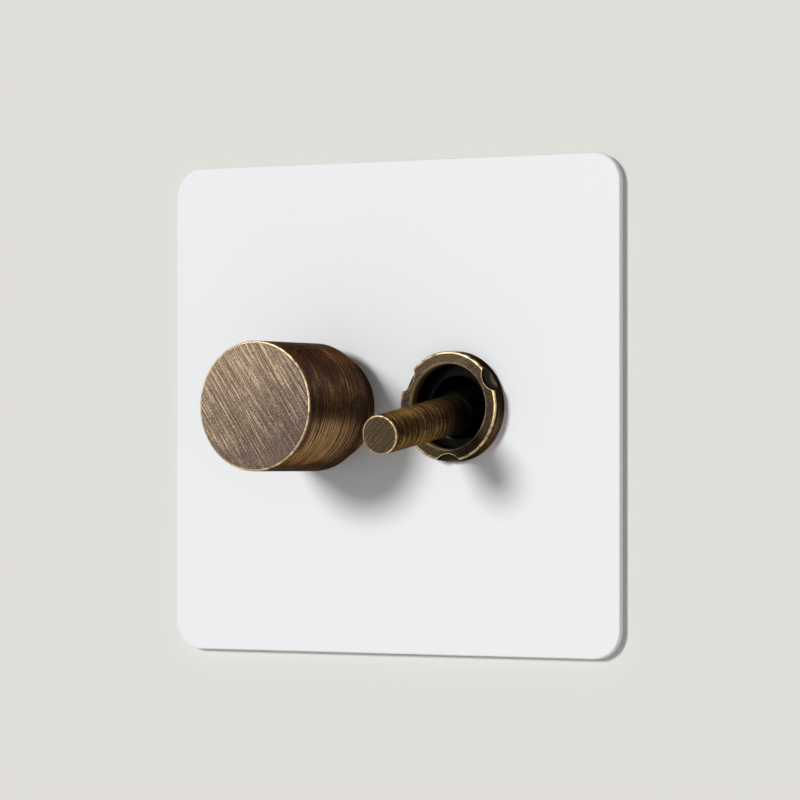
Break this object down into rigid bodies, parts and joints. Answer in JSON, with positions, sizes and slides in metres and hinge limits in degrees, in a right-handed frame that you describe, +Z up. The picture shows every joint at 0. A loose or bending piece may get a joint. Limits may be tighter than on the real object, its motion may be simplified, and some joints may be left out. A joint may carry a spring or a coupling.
{
  "type": "toggle and dimmer light switch",
  "caption": "Wall plate light switch: brass toggle lever in a notched ring nut beside a push-and-turn brass dimmer knob, on a white rounded plate with switch modules behind.",
  "frame": {"origin": "centre of the support frame, on the wall plane that its rim lies on", "axes": "+X right seen from the room, +Y into the wall, +Z up"},
  "size_m": [0.09, 0.0518, 0.086],
  "materials": {
    "white_coat": "satin powder coat",
    "aged_brass": "antique brass, brushed, edges worn bright",
    "black_moulding": "satin moulded",
    "zinc_steel": "zinc plated",
    "spring_steel": "drawn wire",
    "terminal_brass": "bright machined",
    "silver": "matt silver",
    "nylon": "natural",
    "cream_moulding": "moulded thermoset",
    "charcoal_moulding": "fine moulded texture",
    "heat_sink_aluminium": "mill finish",
    "control_plastic": "moulded",
    "board_laminate": "green solder resist",
    "ferrite": "sintered",
    "copper": "enamelled wire",
    "capacitor_case": "moulded box"
  },
  "bodies": {
    "base": {"front_plate": "white_coat", "support_frame": "zinc_steel", "fixing_screws": "zinc_steel", "earth_terminal": "terminal_brass", "earth_screw": "zinc_steel", "toggle_ring_nut": "aged_brass", "dimmer_ring_nut": "aged_brass", "toggle_bush": "black_moulding", "dimmer_bush": "black_moulding", "toggle_pivot_pin": "zinc_steel", "fixed_contacts": "silver", "common_terminal": "terminal_brass", "upper_terminal": "terminal_brass", "lower_terminal": "terminal_brass", "toggle_terminal_screws": "zinc_steel", "toggle_housing": "cream_moulding", "toggle_rear_cover": "cream_moulding", "toggle_rivets": "terminal_brass", "heat_sink": "heat_sink_aluminium", "control_body": "control_plastic", "push_spring": "spring_steel", "push_switch": "control_plastic", "circuit_board": "board_laminate", "power_transistors": "black_moulding", "choke_core": "ferrite", "choke_winding": "copper", "suppression_capacitor": "capacitor_case", "smoothing_capacitor": "heat_sink_aluminium", "line_terminal": "terminal_brass", "load_terminal": "terminal_brass", "two_way_terminal": "terminal_brass", "dimmer_terminal_screws": "zinc_steel", "dimmer_housing": "charcoal_moulding"},
    "lever": {"toggle_lever": "aged_brass", "toggle_dolly": "black_moulding", "toggle_spring": "spring_steel", "toggle_plunger": "nylon"},
    "rocker": {"contact_rocker": "terminal_brass", "rocker_contacts": "silver"},
    "button": {"push_button": "nylon"},
    "knob": {"dimmer_knob": "aged_brass", "dimmer_shaft": "nylon"},
    "wiper": {"wiper": "nylon"}
  },
  "joints": [
    {"name": "toggle_throw", "type": "hinge", "parent": "base", "child": "lever", "pos_m": [0.01305, 0.0057, 0], "axis": [-1, 0, 0], "range_deg": [0, 17.4]},
    {"name": "rocker_swing", "type": "hinge", "parent": "base", "child": "rocker", "pos_m": [0.01305, 0.0182, 0], "axis": [-1, 0, 0], "range_deg": [-12, 0]},
    {"name": "knob_press", "type": "slide", "parent": "base", "child": "button", "axis": [0, 1, 0], "range_m": [0, 0.0012], "stiffness_N_per_m": 1500, "springref_m": -0.001, "deforming": ["push_spring"]},
    {"name": "knob_turn", "type": "hinge", "parent": "button", "child": "knob", "pos_m": [-0.01305, 0, 0], "axis": [0, 1, 0], "range_deg": [0, 280]},
    {"name": "wiper_turn", "type": "hinge", "parent": "base", "child": "wiper", "pos_m": [-0.01305, 0, 0], "axis": [0, 1, 0], "range_deg": [0, 280]}
  ],
  "couplings": [
    {"joint": "rocker_swing", "follows": "toggle_throw", "ratio": -0.6896},
    {"joint": "wiper_turn", "follows": "knob_turn", "ratio": 1}
  ]
}
